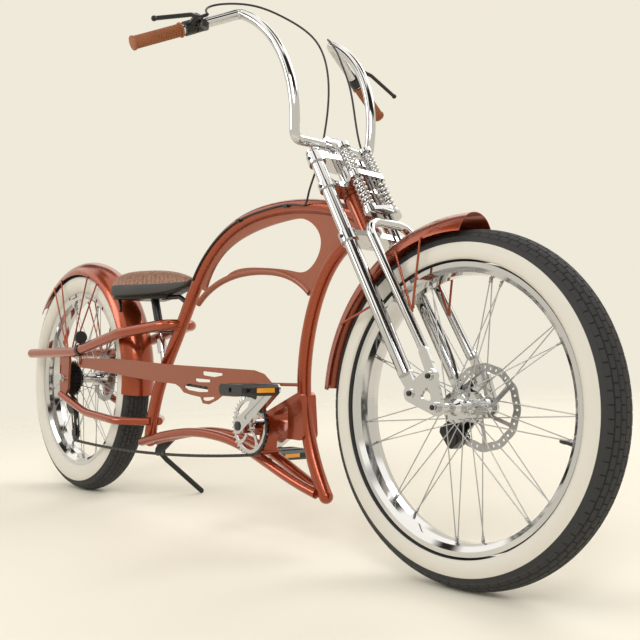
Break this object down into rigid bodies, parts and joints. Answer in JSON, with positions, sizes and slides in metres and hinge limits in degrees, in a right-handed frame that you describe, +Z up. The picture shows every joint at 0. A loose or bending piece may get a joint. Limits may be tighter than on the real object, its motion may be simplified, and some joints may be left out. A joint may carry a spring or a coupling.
{
  "type": "chopper bicycle",
  "caption": "Stretched low-rider chopper bicycle with a sprung chrome fork, high bars, wide copper fenders, whitewall tyres and a side stand",
  "frame": {"origin": "middle of the outer box, on the road under the tyres", "axes": "X forward, Y to the rider's left, Z up; it stands leaned to the left on its side stand"},
  "size_m": [2.4044, 0.8082, 1.3036],
  "materials": {
    "copper_paint": "gloss",
    "chrome": "polished",
    "steel": "satin",
    "black_metal": "satin",
    "black_plastic": "matte",
    "tyre": "matte",
    "leather": "satin",
    "grip": "matte"
  },
  "bodies": {
    "frame": {"head_tube": "copper_paint", "top_tube": "copper_paint", "down_tube": "copper_paint", "frame_web": "copper_paint", "lower_tubes": "copper_paint", "bottom_bracket": "copper_paint", "upper_stays": "copper_paint", "lower_stays": "copper_paint", "dropouts": "copper_paint", "rear_axle": "chrome", "rear_fender": "copper_paint", "rear_fender_stays": "copper_paint", "chain_guard": "copper_paint", "chain": "steel", "derailleur": "black_metal", "saddle": "leather", "saddle_frame": "black_metal", "seat_shock": "chrome", "stand_bracket": "black_metal", "rear_caliper": "black_metal", "rear_reflector": "black_plastic", "gear_cable": "black_plastic"},
    "rear_wheel": {"rear_tyre": "tyre", "rear_rim": "chrome", "rear_spokes": "chrome", "rear_hub": "chrome", "rear_sprockets": "black_metal", "rear_rotor": "steel"},
    "cranks": {"chainring": "chrome", "crank_axle": "steel", "right_crank": "chrome", "left_crank": "chrome"},
    "right_pedal": {"right_pedal": "black_plastic"},
    "left_pedal": {"left_pedal": "black_plastic"},
    "side_stand": {"side_stand": "black_metal"},
    "steering": {"steerer": "chrome", "fork_plates": "chrome", "fork_legs": "chrome", "front_legs": "chrome", "rockers": "chrome", "front_axle": "chrome", "fork_springs": "chrome", "spring_rods": "chrome", "spring_bridge": "chrome", "front_fender": "copper_paint", "front_fender_stays": "copper_paint", "handlebar": "chrome", "stem": "chrome", "grips": "grip", "brake_levers": "black_metal", "shifter": "black_metal", "front_caliper": "black_metal", "front_brake_cable": "black_plastic"},
    "front_wheel": {"front_tyre": "tyre", "front_rim": "chrome", "front_spokes": "chrome", "front_hub": "chrome", "front_rotor": "steel"}
  },
  "joints": [
    {"name": "rear_wheel_spin", "type": "hinge", "parent": "frame", "child": "rear_wheel", "pos_m": [-0.83223, -0.06981, 0.36858], "axis": [-0.0011, 0.9956, -0.0942], "continuous": true},
    {"name": "steering_turn", "type": "hinge", "parent": "frame", "child": "steering", "pos_m": [0.54482, -0.03107, 0.76156], "axis": [-0.5197, 0.0799, 0.8506], "range_deg": [-39.3, 32.7], "deforming": ["gear_cable"]},
    {"name": "front_wheel_spin", "type": "hinge", "parent": "steering", "child": "front_wheel", "pos_m": [0.84962, -0.06693, 0.35064], "axis": [-0.0503, 0.991, -0.1238], "continuous": true},
    {"name": "crank_turn", "type": "hinge", "parent": "frame", "child": "cranks", "pos_m": [0.20075, -0.07725, 0.27749], "axis": [-0.0011, 0.9956, -0.0942], "continuous": true},
    {"name": "right_pedal_turn", "type": "hinge", "parent": "cranks", "child": "right_pedal", "pos_m": [0.34218, -0.22946, 0.38692], "axis": [-0.0011, 0.9956, -0.0942], "continuous": true},
    {"name": "left_pedal_turn", "type": "hinge", "parent": "cranks", "child": "left_pedal", "pos_m": [0.05932, 0.07496, 0.16807], "axis": [-0.0011, 0.9956, -0.0942], "continuous": true},
    {"name": "stand_fold", "type": "hinge", "parent": "frame", "child": "side_stand", "pos_m": [-0.4228, -0.03962, 0.15185], "axis": [-0.0011, 0.9956, -0.0942], "range_deg": [0, 95]}
  ]
}
